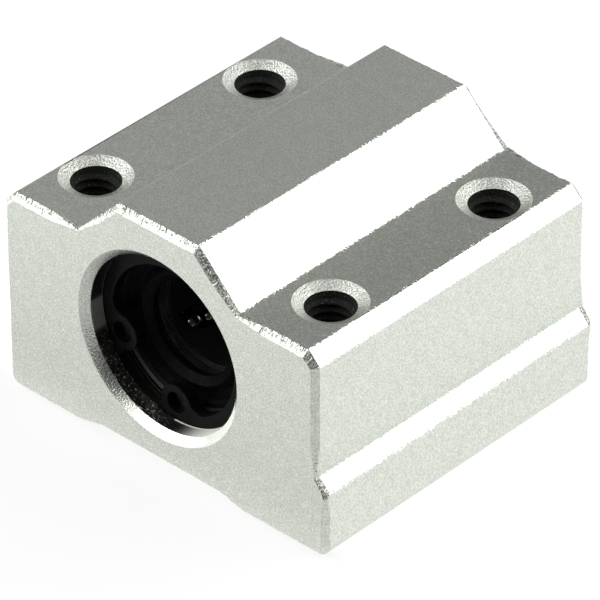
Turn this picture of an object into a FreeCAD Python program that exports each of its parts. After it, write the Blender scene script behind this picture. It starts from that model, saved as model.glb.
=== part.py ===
"""Linear bearing block: a flanged aluminium housing round a four-circuit linear ball bearing.

Frame: X across the block, Y along the bore, Z up. The origin is at the foot of the bore's
vertical centre line, midway between the block's ends. The stepped side of the block is +X.
"""
import FreeCAD, Part
import math
import os
import re

import Sketcher
from FreeCAD import Placement, Rotation, Vector

# Driving dimensions, in millimetres and degrees
DIMENSIONS = {
    # Housing block
    "block_length": 30.0,
    "left_reach": 16.0,
    "right_reach": 16.0,
    "foot_step": 1.0,
    "foot_height": 6.0,
    "shoulder_height": 18.0,
    "shoulder_chamfer": 1.05,
    "ridge_rise": 4.0,
    "ridge_top_width": 8.2,
    "recess_mouth_width": 17.0,
    "recess_floor_width": 12.4,
    "recess_depth": 0.55,
    "edge_break": 0.5,
    # Rounds of the long edges, beyond the size of the broken edges that cross them
    "foot_extra_round": 0.4,
    "base_extra_round": 0.7,
    # Housing bore
    "bore_height": 11.0,
    "bore_diameter": 15.0,
    "bore_chamfer": 0.65,
    "ring_groove_diameter": 15.7,
    "ring_groove_width": 1.1,
    "ring_axial_play": 0.02,
    # Mounting holes
    "hole_spacing_across": 24.0,
    "hole_spacing_along": 18.0,
    "through_diameter": 3.4,
    "thread_diameter": 4.0,
    "thread_depth": 8.0,
    "countersink_diameter": 5.8,
    "countersink_angle": 130.0,
    "drill_point_angle": 118.0,
    # Retaining rings in the bore
    "ring_thickness": 1.0,
    "ring_groove_clearance": 0.02,
    "ring_inner_diameter": 12.6,
    "ring_offset": 0.55,
    "lug_spread": 67.5,
    "lug_circle_radius": 6.06,
    "lug_radius": 1.55,
    "lug_blend": 1.1,
    "lug_hole_diameter": 1.8,
    "ring_turn": 34.5,
    # Bearing sleeve, set back from the block's ends
    "bearing_setback": 3.0,
    "sleeve_clearance": 0.01,
    "sleeve_chamfer": 0.5,
    "sleeve_groove_setback": 3.25,
    "sleeve_groove_width": 1.1,
    "sleeve_groove_diameter": 14.3,
    "relief_diameter": 12.6,
    "seat_diameter": 13.1,
    "land_width": 1.4,
    "land_root": 0.3,
    # Balls and their circuits
    "shaft_diameter": 8.0,
    "ball_diameter": 1.5875,
    "ball_gap": 0.02,
    "circuit_count": 4,
    "circuit_turn": 45.0,
    "row_spacing": 2.6,
    # Ball cage
    "cage_end_wall": 0.376,
    "cage_shaft_clearance": 0.2,
    "cage_relief_clearance": 0.05,
    "cage_end_play": 0.05,
    "channel_clearance": 0.03,
    "slit_width": 1.35,
    "lip_drop": 0.45,
    "keyway_clearance": 0.09,
    # End rings and seals
    "end_ring_thickness": 1.0,
    "end_ring_bore": 8.8,
    "press_clearance": 0.01,
    "stack_gap": 0.02,
    "seal_recess": 0.26,
    "seal_web_thickness": 0.95,
    "seal_rim_thickness": 1.2,
    "seal_ridge_height": 1.42,
    "seal_ridge_diameter": 9.3,
    "seal_ridge_foot_diameter": 10.5,
    "seal_rim_inner_diameter": 12.0,
    "seal_rim_slope": 0.2,
    "seal_lip_inner_height": 0.45,
    "seal_lip_outer_height": 0.9,
    "seal_lip_relief": 0.5,
}

# Flats on each ball: meridian sides and bands from pole to pole
BALL_SIDES = 6
BALL_BANDS = 4

# Two points nearer than this are the same point
SAME_POINT = 1e-6

# Formulas that several pieces share, in the names of the sizes above
HALF_SLEEVE = "(block_length / 2 - bearing_setback)"
END_STACK = "(end_ring_thickness + stack_gap + seal_ridge_height + seal_recess)"
HALF_CAGE_ROOM = "(%s - %s)" % (HALF_SLEEVE, END_STACK)
HALF_CHANNEL = "(ball_diameter / 2 + channel_clearance)"
TURN_REACH = "(row_spacing / 2 + %s)" % HALF_CHANNEL
HALF_ROW = "(%s - cage_end_play - cage_end_wall - %s)" % (HALF_CAGE_ROOM, TURN_REACH)
ROW_HEIGHT = "((shaft_diameter + ball_diameter) / 2)"
LUG_ACROSS = "lug_circle_radius * sin(lug_spread / 2 * 1 deg)"
LUG_UP = "-lug_circle_radius * cos(lug_spread / 2 * 1 deg)"

doc = FreeCAD.newDocument("LinearBearingBlock")
sheet = doc.addObject("Spreadsheet::Sheet", "Sizes")
for row, (alias, value) in enumerate(DIMENSIONS.items(), 1):
    sheet.set("A%d" % row, alias.replace("_", " "))
    sheet.set("B%d" % row, str(value))
    sheet.setAlias("B%d" % row, alias)
doc.recompute()


# Formulas in the names of the sheet

def formula(text):
    """Write the sheet's name in front of each of its sizes in a formula."""
    return re.sub(r"[a-z][a-z_]*", lambda word: sheet_name(word.group()), text)


def sheet_name(word):
    """Give a size's full name, and leave other words, such as sin, alone."""
    return "Sizes." + word if word in DIMENSIONS else word


def size(text):
    """Work out a formula now, as a plain number."""
    result = sheet.evalExpression(formula(text))
    return float(getattr(result, "Value", result))


# Bodies, sketches and features

def new_body(name):
    """Start one piece of the block as a body with its own label."""
    body = doc.addObject("PartDesign::Body", name)
    body.Label = name
    return body


def origin_feature(body, role):
    """Find one of a body's own origin planes or axes."""
    return next(item for item in body.Origin.OriginFeatures if item.Role == role)


def new_sketch(body, name, plane, **offsets):
    """Start a sketch on an origin plane, moved off it by formulas for x, y or z."""
    sketch = body.newObject("Sketcher::SketchObject", name)
    sketch.AttachmentSupport = (origin_feature(body, plane), [""])
    sketch.MapMode = "FlatFace"
    for direction, text in offsets.items():
        sketch.setExpression("AttachmentOffset.Base." + direction, formula(text))
    return sketch


def pin_point(sketch, geometry, point, across, up):
    """Hold a point of the sketch at formulas for its place from the sketch's origin."""
    for kind, text in (("DistanceX", across), ("DistanceY", up)):
        constraint = Sketcher.Constraint(kind, -1, 1, geometry, point, size(text))
        index = sketch.addConstraint(constraint)
        sketch.setExpression("Constraints[%d]" % index, formula(text))


def draw_outline(sketch, corners):
    """Draw a closed outline of straight lines through corners given as formulas."""
    places = [Vector(size(across), size(up), 0) for across, up in corners]
    lines = []
    for start, end in zip(places, places[1:] + places[:1]):
        lines.append(sketch.addGeometry(Part.LineSegment(start, end), False))
    for line, following in zip(lines, lines[1:] + lines[:1]):
        sketch.addConstraint(Sketcher.Constraint("Coincident", line, 2, following, 1))
    for line, (across, up) in zip(lines, corners):
        pin_point(sketch, line, 1, across, up)


def draw_circle(sketch, across, up, radius):
    """Draw a circle whose centre and radius are formulas."""
    centre = Vector(size(across), size(up), 0)
    circle = sketch.addGeometry(Part.Circle(centre, Vector(0, 0, 1), size(radius)), False)
    pin_point(sketch, circle, 3, across, up)
    index = sketch.addConstraint(Sketcher.Constraint("Radius", circle, size(radius)))
    sketch.setExpression("Constraints[%d]" % index, formula(radius))


def draw_stadium(sketch, centre, half_width, half_straight):
    """Draw two straights along the sketch's up direction, joined by half circles."""
    right = "(%s) + (%s)" % (centre, half_width)
    left = "(%s) - (%s)" % (centre, half_width)
    top = half_straight
    bottom = "-(%s)" % half_straight
    middle = size(centre)
    radius = size(half_width)
    reach = size(half_straight)
    rising = Part.LineSegment(Vector(middle + radius, -reach, 0), Vector(middle + radius, reach, 0))
    falling = Part.LineSegment(Vector(middle - radius, reach, 0), Vector(middle - radius, -reach, 0))
    upper = Part.Circle(Vector(middle, reach, 0), Vector(0, 0, 1), radius)
    lower = Part.Circle(Vector(middle, -reach, 0), Vector(0, 0, 1), radius)
    first = sketch.addGeometry(rising, False)
    second = sketch.addGeometry(Part.ArcOfCircle(upper, 0, math.pi), False)
    third = sketch.addGeometry(falling, False)
    fourth = sketch.addGeometry(Part.ArcOfCircle(lower, math.pi, 2 * math.pi), False)
    for piece, following in ((first, second), (second, third), (third, fourth), (fourth, first)):
        sketch.addConstraint(Sketcher.Constraint("Coincident", piece, 2, following, 1))
    pin_point(sketch, first, 1, right, bottom)
    pin_point(sketch, first, 2, right, top)
    pin_point(sketch, third, 1, left, top)
    pin_point(sketch, third, 2, left, bottom)
    for arc, up in ((second, top), (fourth, bottom)):
        index = sketch.addConstraint(Sketcher.Constraint("DistanceY", -1, 1, arc, 3, size(up)))
        sketch.setExpression("Constraints[%d]" % index, formula(up))


def pad(body, name, sketch, length, symmetric=False):
    """Grow a sketch along its normal, or half each way."""
    feature = body.newObject("PartDesign::Pad", name)
    feature.Profile = sketch
    feature.setExpression("Length", formula(length))
    if symmetric:
        feature.SideType = "Symmetric"
    doc.recompute()
    return feature


def pocket(body, name, sketch, length=None, symmetric=False, outward=False):
    """Cut a sketch into the body, through everything if no length is given."""
    before = body.Tip.Shape.Volume
    feature = body.newObject("PartDesign::Pocket", name)
    feature.Profile = sketch
    if length is None:
        feature.Type = "ThroughAll"
    else:
        feature.setExpression("Length", formula(length))
    if symmetric:
        feature.SideType = "Symmetric"
    feature.Reversed = outward
    doc.recompute()
    expect_less(feature, before)
    return feature


def turn(body, name, sketch, kind, axis):
    """Add or cut a full turn of a sketch about one of the sketch's own axes."""
    before = body.Tip.Shape.Volume if body.Tip else None
    feature = body.newObject("PartDesign::" + kind, name)
    feature.Profile = sketch
    feature.ReferenceAxis = (sketch, [axis])
    feature.Angle = 360
    doc.recompute()
    if kind == "Groove":
        expect_less(feature, before)
    return feature


def expect_less(feature, before):
    """Stop if a cut took nothing away."""
    if feature.Shape.Volume > before - SAME_POINT:
        raise RuntimeError(feature.Name + " cuts nothing")


def repeat_round_bore(body, name, features):
    """Repeat features once for each ball circuit, round the body's Y axis."""
    pattern = body.newObject("PartDesign::PolarPattern", name)
    pattern.Originals = features
    pattern.Axis = (origin_feature(body, "Y_Axis"), [""])
    pattern.Angle = 360
    pattern.setExpression("Occurrences", formula("circuit_count"))
    body.Tip = pattern
    doc.recompute()
    return pattern


def edges_at(shape, centres):
    """Name the edges whose middle lies at one of the given points."""
    names = []
    for index, edge in enumerate(shape.Edges, 1):
        if any((edge.CenterOfMass - centre).Length < SAME_POINT for centre in centres):
            names.append("Edge%d" % index)
    return names


def edges_in_ends(shape, half_length):
    """Name the edges that lie in the block's two end planes."""
    names = []
    for index, edge in enumerate(shape.Edges, 1):
        box = edge.BoundBox
        flat = box.YLength < SAME_POINT
        if flat and abs(abs(box.YMin) - half_length) < SAME_POINT:
            names.append("Edge%d" % index)
    return names


def dress_edges(body, name, kind, base, edges, measure, text):
    """Round or chamfer the named edges of the feature before."""
    feature = body.newObject("PartDesign::" + kind, name)
    feature.Base = (base, edges)
    feature.setExpression(measure, formula(text))
    doc.recompute()
    return feature


def seat_on_bore(part, along="0", roll=0.0, yaw=0.0):
    """Put a turned piece on the bore's axis, rolled about it and turned end for end."""
    rotation = Rotation(Vector(0, 0, 1), yaw) * Rotation(Vector(0, 1, 0), roll)
    part.Placement = Placement(Vector(0, size(along), size("bore_height")), rotation)
    part.setExpression("Placement.Base.y", formula(along))
    part.setExpression("Placement.Base.z", formula("bore_height"))


# Housing

def make_housing():
    """Extrude the block's profile, break its edges, bore it and drill its holes."""
    body = new_body("housing")
    profile = new_sketch(body, "HousingProfile", "XZ_Plane")
    draw_outline(profile, [
        ("-left_reach", "0"),
        ("-recess_mouth_width / 2", "0"),
        ("-recess_floor_width / 2", "recess_depth"),
        ("recess_floor_width / 2", "recess_depth"),
        ("recess_mouth_width / 2", "0"),
        ("right_reach + foot_step", "0"),
        ("right_reach + foot_step", "foot_height"),
        ("right_reach", "foot_height + foot_step"),
        ("right_reach", "shoulder_height - shoulder_chamfer"),
        ("right_reach - shoulder_chamfer", "shoulder_height"),
        ("ridge_top_width / 2 + ridge_rise", "shoulder_height"),
        ("ridge_top_width / 2", "shoulder_height + ridge_rise"),
        ("-ridge_top_width / 2", "shoulder_height + ridge_rise"),
        ("-ridge_top_width / 2 - ridge_rise", "shoulder_height"),
        ("-left_reach + shoulder_chamfer", "shoulder_height"),
        ("-left_reach", "shoulder_height - shoulder_chamfer"),
    ])
    block = pad(body, "HousingBlock", profile, "block_length", symmetric=True)

    foot_face = size("right_reach + foot_step")
    corners = [Vector(-size("left_reach"), 0, 0), Vector(foot_face, 0, 0)]
    base = dress_edges(body, "BaseCorners", "Fillet", block,
                       edges_at(block.Shape, corners), "Radius", "edge_break + base_extra_round")
    step = edges_at(base.Shape, [Vector(foot_face, 0, size("foot_height"))])
    foot = dress_edges(body, "FootCorner", "Fillet", base, step,
                       "Radius", "edge_break + foot_extra_round")
    ends = edges_in_ends(foot.Shape, size("block_length / 2"))
    dress_edges(body, "BrokenEdges", "Chamfer", foot, ends, "Size", "edge_break")

    bore = new_sketch(body, "BoreSection", "YZ_Plane", y="bore_height")
    draw_outline(bore, bore_section())
    turn(body, "HousingBore", bore, "Groove", "H_Axis")

    through = new_sketch(body, "ThroughHoles", "XY_Plane", z="shoulder_height")
    draw_hole_pattern(through, "through_diameter / 2")
    pocket(body, "ThroughDrilling", through)
    tapped = new_sketch(body, "TappedHoles", "XY_Plane", z="shoulder_height")
    draw_hole_pattern(tapped, "thread_diameter / 2")
    drill_tapped_holes(body, tapped)
    return body


def bore_section():
    """Give half of the turned bore: mouth chamfers, wall and the two ring grooves."""
    mouth = "bore_diameter / 2 + bore_chamfer"
    wall = "bore_diameter / 2"
    floor = "ring_groove_diameter / 2"
    outer = "(%s + ring_thickness + ring_axial_play)" % HALF_SLEEVE
    inner = "(%s - ring_groove_width)" % outer
    front_half = [
        ("-block_length / 2", "0"),
        ("-block_length / 2", mouth),
        ("-block_length / 2 + bore_chamfer", wall),
        ("-" + outer, wall),
        ("-" + outer, floor),
        ("-" + inner, floor),
        ("-" + inner, wall),
    ]
    rear_half = [
        (inner, wall),
        (inner, floor),
        (outer, floor),
        (outer, wall),
        ("block_length / 2 - bore_chamfer", wall),
        ("block_length / 2", mouth),
        ("block_length / 2", "0"),
    ]
    return front_half + rear_half


def draw_hole_pattern(sketch, radius):
    """Draw one circle at each of the four mounting holes."""
    for side in ("-", ""):
        for end in ("-", ""):
            across = side + "hole_spacing_across / 2"
            along = end + "hole_spacing_along / 2"
            draw_circle(sketch, across, along, radius)


def drill_tapped_holes(body, sketch):
    """Open the upper part of each hole to the thread's size, with a shallow countersink."""
    before = body.Tip.Shape.Volume
    hole = body.newObject("PartDesign::Hole", "TappedDrilling")
    hole.Profile = sketch
    doc.recompute()
    hole.DepthType = "Dimension"
    hole.setExpression("Depth", formula("thread_depth"))
    hole.setExpression("Diameter", formula("thread_diameter"))
    hole.HoleCutType = "Countersink"
    hole.HoleCutCustomValues = True
    hole.setExpression("HoleCutDiameter", formula("countersink_diameter"))
    hole.setExpression("HoleCutCountersinkAngle", formula("countersink_angle"))
    hole.DrillPoint = "Angled"
    hole.setExpression("DrillPointAngle", formula("drill_point_angle"))
    doc.recompute()
    expect_less(hole, before)


# Retaining rings

def make_circlip(name, along, yaw):
    """Stamp an open ring with two eyed lugs, its bore set off centre towards the gap."""
    body = new_body(name)
    outline = new_sketch(body, name + "_Ring", "XZ_Plane")
    draw_circle(outline, "0", "0", "ring_groove_diameter / 2 - ring_groove_clearance")
    draw_circle(outline, "0", "-ring_offset", "ring_inner_diameter / 2")
    pad(body, name + "_Blank", outline, "ring_thickness")

    half_gap = "(lug_spread / 2 * 1 deg - asin(lug_radius / lug_circle_radius))"
    reach = "ring_groove_diameter"
    gap = new_sketch(body, name + "_GapSector", "XZ_Plane")
    draw_outline(gap, [
        ("0", "0"),
        ("-%s * tan%s" % (reach, half_gap), "-" + reach),
        ("%s * tan%s" % (reach, half_gap), "-" + reach),
    ])
    pocket(body, name + "_Gap", gap, "ring_thickness", outward=True)

    lugs = new_sketch(body, name + "_LugOutlines", "XZ_Plane")
    draw_lug_pair(lugs, "lug_radius")
    lugged = pad(body, name + "_Lugs", lugs, "ring_thickness")
    dress_edges(body, name + "_LugBlends", "Fillet", lugged,
                lug_corners(lugged.Shape), "Radius", "lug_blend")
    eyes = new_sketch(body, name + "_EyeOutlines", "XZ_Plane")
    draw_lug_pair(eyes, "lug_hole_diameter / 2")
    pocket(body, name + "_Eyes", eyes, "ring_thickness", outward=True)
    seat_on_bore(body, along, size("ring_turn"), yaw)
    return body


def draw_lug_pair(sketch, radius):
    """Draw a circle at the centre of each lug, either side of the gap."""
    for side in ("-", ""):
        draw_circle(sketch, side + LUG_ACROSS, LUG_UP, radius)


def lug_corners(shape):
    """Name the edges where the ring's bore runs into the far side of each lug."""
    half_spread = size(LUG_ACROSS)
    bore_centre = Vector(0, 0, -size("ring_offset"))
    names = []
    for index, edge in enumerate(shape.Edges, 1):
        corner = edge.CenterOfMass
        corner.y = 0
        lug_centre = Vector(math.copysign(half_spread, corner.x), 0, size(LUG_UP))
        on_bore = abs((corner - bore_centre).Length - size("ring_inner_diameter / 2")) < SAME_POINT
        on_lug = abs((corner - lug_centre).Length - size("lug_radius")) < SAME_POINT
        if on_bore and on_lug and abs(corner.x) > half_spread:
            names.append("Edge%d" % index)
    return names


# Bearing sleeve

def make_sleeve():
    """Turn the sleeve, raise a raceway land for each loaded row and bore the lands."""
    body = new_body("bearing_sleeve")
    section = new_sketch(body, "SleeveSection", "XY_Plane")
    draw_outline(section, sleeve_section())
    turn(body, "SleeveTurning", section, "Revolution", "V_Axis")

    blank = new_sketch(body, "LandBlank", "XZ_Plane")
    root = "relief_diameter / 2 + land_root"
    draw_outline(blank, [
        ("-land_width / 2", ROW_HEIGHT),
        ("land_width / 2", ROW_HEIGHT),
        ("land_width / 2", root),
        ("-land_width / 2", root),
    ])
    land = pad(body, "RacewayLand", blank, "2 * " + HALF_ROW, symmetric=True)
    repeat_round_bore(body, "RacewayLands", [land])
    raceway = new_sketch(body, "RacewayCircle", "XZ_Plane")
    draw_circle(raceway, "0", "0", "shaft_diameter / 2 + ball_diameter")
    pocket(body, "RacewayGrinding", raceway, "2 * " + HALF_ROW, symmetric=True)
    seat_on_bore(body, roll=size("circuit_turn"))
    return body


def sleeve_section():
    """Give the sleeve's wall: end seats, relief bore, end chamfers and two outer grooves."""
    outer = "bore_diameter / 2 - sleeve_clearance"
    seat = "seat_diameter / 2"
    relief = "relief_diameter / 2"
    floor = "sleeve_groove_diameter / 2"
    groove_far = "(%s - sleeve_groove_setback)" % HALF_SLEEVE
    groove_near = "(%s - sleeve_groove_width)" % groove_far
    return [
        (seat, HALF_SLEEVE),
        (outer + " - sleeve_chamfer", HALF_SLEEVE),
        (outer, HALF_SLEEVE + " - sleeve_chamfer"),
        (outer, groove_far),
        (floor, groove_far),
        (floor, groove_near),
        (outer, groove_near),
        (outer, "-" + groove_near),
        (floor, "-" + groove_near),
        (floor, "-" + groove_far),
        (outer, "-" + groove_far),
        (outer, "-%s + sleeve_chamfer" % HALF_SLEEVE),
        (outer + " - sleeve_chamfer", "-" + HALF_SLEEVE),
        (seat, "-" + HALF_SLEEVE),
        (seat, "-" + HALF_CAGE_ROOM),
        (relief, "-" + HALF_CAGE_ROOM),
        (relief, HALF_CAGE_ROOM),
        (seat, HALF_CAGE_ROOM),
    ]


# Ball cage

def make_cage():
    """Turn the cage, then cut a keyway, a ball channel and a slit for each circuit."""
    body = new_body("ball_cage")
    outer = "relief_diameter / 2 - cage_relief_clearance"
    inner = "shaft_diameter / 2 + cage_shaft_clearance"
    end = "(%s - cage_end_play)" % HALF_CAGE_ROOM
    section = new_sketch(body, "CageSection", "XY_Plane")
    draw_outline(section, [
        (inner, "-" + end),
        (outer, "-" + end),
        (outer, end),
        (inner, end),
    ])
    turn(body, "CageTurning", section, "Revolution", "V_Axis")

    key = new_sketch(body, "KeywayOutline", "XZ_Plane")
    key_floor = "shaft_diameter / 2 + ball_diameter - keyway_clearance"
    draw_outline(key, [
        ("-" + HALF_CHANNEL, key_floor),
        (HALF_CHANNEL, key_floor),
        (HALF_CHANNEL, "relief_diameter / 2"),
        ("-" + HALF_CHANNEL, "relief_diameter / 2"),
    ])
    keyway = pocket(body, "Keyway", key, "block_length", symmetric=True)

    channel = new_sketch(body, "ChannelOutline", "XY_Plane", z=ROW_HEIGHT + " - lip_drop")
    draw_racetrack(channel, HALF_CHANNEL)
    channel_cut = pocket(body, "BallChannel", channel, outward=True)

    floor = "shaft_diameter / 2 - channel_clearance"
    slit = new_sketch(body, "SlitOutline", "XY_Plane", z=floor)
    draw_racetrack(slit, "slit_width / 2")
    slit_cut = pocket(body, "BallSlit", slit, outward=True)
    repeat_round_bore(body, "Circuits", [keyway, channel_cut, slit_cut])
    seat_on_bore(body, roll=size("circuit_turn"))
    return body


def draw_racetrack(sketch, half_width):
    """Draw a racetrack ring of the given half width along a circuit's centre line."""
    middle = "row_spacing / 2"
    draw_stadium(sketch, middle, "row_spacing / 2 + " + half_width, HALF_ROW)
    draw_stadium(sketch, middle, "row_spacing / 2 - " + half_width, HALF_ROW)


# End rings and seals

def make_end_ring(name, yaw):
    """Turn the plain ring that stops the cage and backs the seal."""
    body = new_body(name)
    inner = "end_ring_bore / 2"
    outer = "seat_diameter / 2 - press_clearance"
    section = new_sketch(body, name + "_Section", "XY_Plane")
    draw_outline(section, [
        (inner, "0"),
        (outer, "0"),
        (outer, "end_ring_thickness"),
        (inner, "end_ring_thickness"),
    ])
    turn(body, name + "_Turning", section, "Revolution", "V_Axis")
    side = "" if yaw == 0 else "-"
    seat_on_bore(body, side + HALF_CAGE_ROOM, yaw=yaw)
    return body


def make_seal(name, yaw):
    """Mould the wiper seal: thick rim, thin web, raised ridge and the lip on the shaft."""
    body = new_body(name)
    outer = "seat_diameter / 2 - press_clearance"
    lip = "shaft_diameter / 2"
    section = new_sketch(body, name + "_Section", "XY_Plane")
    draw_outline(section, [
        (lip + " + seal_lip_relief", "0"),
        (outer, "0"),
        (outer, "seal_rim_thickness"),
        ("seal_rim_inner_diameter / 2 + seal_rim_slope", "seal_rim_thickness"),
        ("seal_rim_inner_diameter / 2", "seal_web_thickness"),
        ("seal_ridge_foot_diameter / 2", "seal_web_thickness"),
        ("seal_ridge_diameter / 2", "seal_ridge_height"),
        (lip, "seal_lip_outer_height"),
        (lip, "seal_lip_inner_height"),
    ])
    turn(body, name + "_Moulding", section, "Revolution", "V_Axis")
    side = "" if yaw == 0 else "-"
    back = "(%s + end_ring_thickness + stack_gap)" % HALF_CAGE_ROOM
    seat_on_bore(body, side + back, yaw=yaw)
    return body


# Balls

def faceted_ball(radius):
    """Make one ball from flats, with every corner on its true sphere."""
    rings = []
    for band in range(1, BALL_BANDS):
        polar = math.pi * band / BALL_BANDS
        along = radius * math.cos(polar)
        ring_radius = radius * math.sin(polar)
        ring = []
        for side in range(BALL_SIDES):
            angle = 2 * math.pi * side / BALL_SIDES
            ring.append(Vector(ring_radius * math.cos(angle), along, ring_radius * math.sin(angle)))
        rings.append(ring)
    outlines = []
    for side in range(BALL_SIDES):
        following = (side + 1) % BALL_SIDES
        outlines.append([Vector(0, radius, 0), rings[0][side], rings[0][following]])
        outlines.append([Vector(0, -radius, 0), rings[-1][following], rings[-1][side]])
        for upper, lower in zip(rings, rings[1:]):
            outlines.append([upper[side], lower[side], lower[following], upper[following]])
    faces = [Part.Face(Part.makePolygon(outline + outline[:1])) for outline in outlines]
    return Part.makeSolid(Part.makeShell(faces))


def circuit_stations():
    """List the balls of one circuit: the stretch each is in, and its place on the loop."""
    straight = size("2 * " + HALF_ROW)
    spacing = size("row_spacing")
    turn_radius = spacing / 2
    turn_length = math.pi * turn_radius
    loop_length = 2 * (straight + turn_length)
    chord = size("ball_diameter + ball_gap")
    least_pitch = spacing * math.asin(chord / spacing)
    count = int(loop_length / least_pitch)
    stations = []
    for index in range(count):
        travel = (index + 0.5) * loop_length / count
        if travel < straight:
            stations.append(("loaded", 0.0, travel - straight / 2))
            continue
        travel -= straight
        if travel < turn_length:
            angle = travel / turn_radius
            across = turn_radius * (1 - math.cos(angle))
            stations.append(("rear_turn", across, straight / 2 + turn_radius * math.sin(angle)))
            continue
        travel -= turn_length
        if travel < straight:
            stations.append(("return", spacing, straight / 2 - travel))
            continue
        angle = (travel - straight) / turn_radius
        across = turn_radius * (1 + math.cos(angle))
        stations.append(("front_turn", across, -straight / 2 - turn_radius * math.sin(angle)))
    return stations


def make_ball_nodes():
    """Group the balls of every circuit by stretch, each ball a separate solid."""
    ball = faceted_ball(size("ball_diameter / 2"))
    height = size(ROW_HEIGHT)
    circuits = int(size("circuit_count"))
    stations = circuit_stations()
    nodes = []
    for circuit in range(circuits):
        roll = size("circuit_turn") + 360.0 * circuit / circuits
        for stretch in ("loaded", "front_turn", "return", "rear_turn"):
            balls = []
            for place, across, along in stations:
                if place == stretch:
                    balls.append(ball.translated(Vector(across, along, height)))
            node = doc.addObject("Part::Feature", "%s_balls_%d" % (stretch, circuit + 1))
            node.Label = node.Name
            node.Shape = Part.makeCompound(balls)
            seat_on_bore(node, roll=roll)
            nodes.append(node)
    return nodes


# The whole block

parts = [
    make_housing(),
    make_circlip("circlip_front", "-" + HALF_SLEEVE, 0),
    make_circlip("circlip_rear", HALF_SLEEVE, 180),
    make_sleeve(),
    make_cage(),
    make_end_ring("end_ring_rear", 0),
    make_end_ring("end_ring_front", 180),
    make_seal("seal_rear", 0),
    make_seal("seal_front", 180),
]
parts += make_ball_nodes()
doc.recompute()

for item in doc.Objects:
    if "Invalid" in item.State or "Error" in item.State:
        raise RuntimeError(item.Name + " failed to build")
for part in parts:
    if part.Shape.isNull() or not part.Shape.isValid():
        raise RuntimeError(part.Label + " has no sound shape")

os.makedirs("parts", exist_ok=True)
for part in parts:
    part.Shape.exportStep("parts/%s.step" % part.Label)
    solids = len(part.Shape.Solids)
    print("%-20s %2d solids %10.3f mm3" % (part.Label, solids, part.Shape.Volume))
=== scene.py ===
import math

import bmesh
import bpy
from mathutils import Matrix, Vector, noise


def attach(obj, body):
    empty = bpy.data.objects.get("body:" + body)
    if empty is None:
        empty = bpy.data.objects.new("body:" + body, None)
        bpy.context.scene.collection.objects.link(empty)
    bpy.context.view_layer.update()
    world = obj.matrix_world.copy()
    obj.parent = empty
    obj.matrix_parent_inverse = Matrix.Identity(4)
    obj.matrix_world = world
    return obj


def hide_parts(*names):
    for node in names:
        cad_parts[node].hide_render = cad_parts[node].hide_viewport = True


MM = 0.001

# Camera: direction and distance from the point it looks at, and its turn about its own axis
CAMERA_AZIMUTH = 42.995
CAMERA_ELEVATION = 35.403
CAMERA_ROLL = -0.155
CAMERA_DISTANCE = 461.24 * MM
CAMERA_TARGET = Vector((-0.312, 0.910, 7.030)) * MM
CAMERA_LENS = 363.65
SENSOR_WIDTH = 36.0
CLIP_START = 0.01
CLIP_END = 20.0

# The block's form, as the solids have it
BORE_HEIGHT = 11.0 * MM
GROOVE_RADIUS = 7.85 * MM
GROOVE_EDGE = 13.02 * MM
MOUTH_RADIUS = 8.15 * MM
MOUTH_BREAK = 0.65 * MM
HALF_LENGTH = 15.0 * MM
EDGE_BREAK = 0.5 * MM
SHOULDER_HEIGHT = 18.0 * MM
HOLE_ACROSS = 12.0 * MM
HOLE_ALONG = 9.0 * MM
HOLE_RADIUS = 2.0 * MM
SINK_RADIUS = 2.9 * MM
SINK_SLOPE = math.tan(math.radians(25))
AROUND_MOUTH = MOUTH_RADIUS + 0.1 * MM
MARGIN = 0.03 * MM

# Screw thread in the upper part of each hole: its half widths are shares of the pitch, and its tip
# is the share of the full ridge that both ends start with
THREAD_PITCH = 0.7 * MM
THREAD_ROOT = 2.02 * MM
THREAD_CREST = 1.66 * MM
THREAD_BOTTOM = 10.05 * MM
THREAD_TOP = 17.30 * MM
THREAD_STEPS = 48
ROOT_HALF_WIDTH = 0.46
CREST_HALF_WIDTH = 0.08
THREAD_TIP = 0.05

# Edges: rounding of the sharp ones
EDGE_ROUND = 0.08 * MM
RING_ROUND = 0.06 * MM
SEAL_ROUND = 0.05 * MM
ROUND_SEGMENTS = 2
ROUND_PROFILE = 0.5

# Broken ends: their ragged border lines, and how they narrow at the inner corners
RAGGED_STEP = 0.10 * MM
RAGGED_SHIFT = 0.07 * MM
RAGGED_WAVES = ((0.35 * MM, 1.0), (0.13 * MM, 0.8))
INNER_CORNERS = ((-8.1 * MM, 18.0 * MM), (8.1 * MM, 18.0 * MM), (16.0 * MM, 7.0 * MM))
NARROWEST = 0.12
NARROW_REACH = 3.4 * MM

# Frayed borders of the right-hand slopes: where they run across the block, how far the flecks lie
# from them, the noise that a fleck has to pass near and far, and the way the slopes face
FRAYED_LINES = ((4.1 * MM, 22.0 * MM), (8.1 * MM, 18.0 * MM), (14.95 * MM, 18.0 * MM),
                (16.0 * MM, 16.95 * MM), (16.0 * MM, 7.0 * MM), (17.0 * MM, 6.0 * MM))
FRAY_REACH = 0.26 * MM
FRAY_END = 0.99 * FRAY_REACH
FLECK_SIZE = 0.13 * MM
FLECK_LEVELS = (0.42, 0.74)
FLANK = (0.7071, 0.0, 0.7071)

# Noise: the range in which most of it lies, the detail of the plain kinds and the roughness of
# the coarse kinds
NOISE_RANGE = (0.3, 0.7)
PLAIN = 1.0
COARSE = 0.7

# Aluminium: the sizes and depths of its grains, and how much of a tear sinks and mouths have
SPECK_SIZE = 0.14 * MM
SPECK_DEPTH = 0.03 * MM
SPARK_SIZE = 0.13 * MM
CLOUD_SIZE = 0.9 * MM
TEAR_SIZE = 0.16 * MM
TEAR_DEPTH = 0.10 * MM
STROKE_SIZE = 0.11 * MM
STROKE_STRETCH = (1.0, 0.3, 0.3)
SINK_TEAR = 0.75
MOUTH_TEAR = 0.35

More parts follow.
